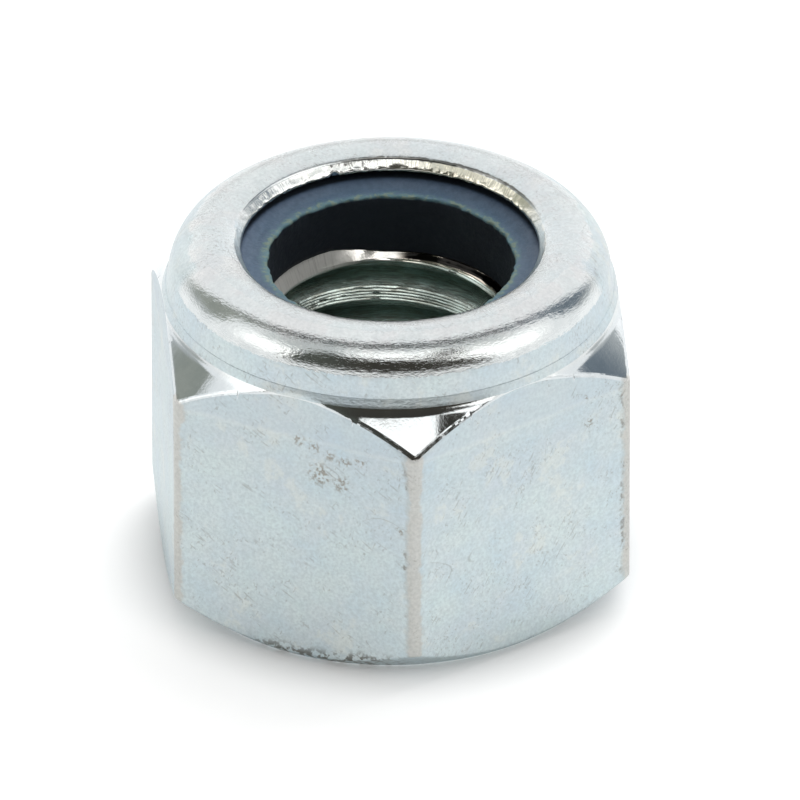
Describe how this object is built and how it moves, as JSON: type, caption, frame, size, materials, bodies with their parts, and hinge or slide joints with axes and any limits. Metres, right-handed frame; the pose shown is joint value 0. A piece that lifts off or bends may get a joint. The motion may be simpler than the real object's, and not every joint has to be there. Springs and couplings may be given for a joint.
{
  "type": "nylon insert lock nut",
  "caption": "Hexagon lock nut with chamfered corners, a thin collar rolled over a captive nylon ring, and a coarse metric thread.",
  "frame": {"origin": "centre of the bearing face, on the thread's axis", "axes": "+Z along the thread's axis from the bearing face to the rolled collar, +X out of the middle of one flat, +Y through a corner"},
  "size_m": [0.0098, 0.0114, 0.008],
  "materials": {
    "zinc_plated_steel": "bright zinc plate, fine mottle and light handling marks",
    "nylon": "moulded slate blue nylon"
  },
  "bodies": {
    "root": {"nut_body": "zinc_plated_steel", "nylon_insert": "nylon"}
  },
  "joints": []
}
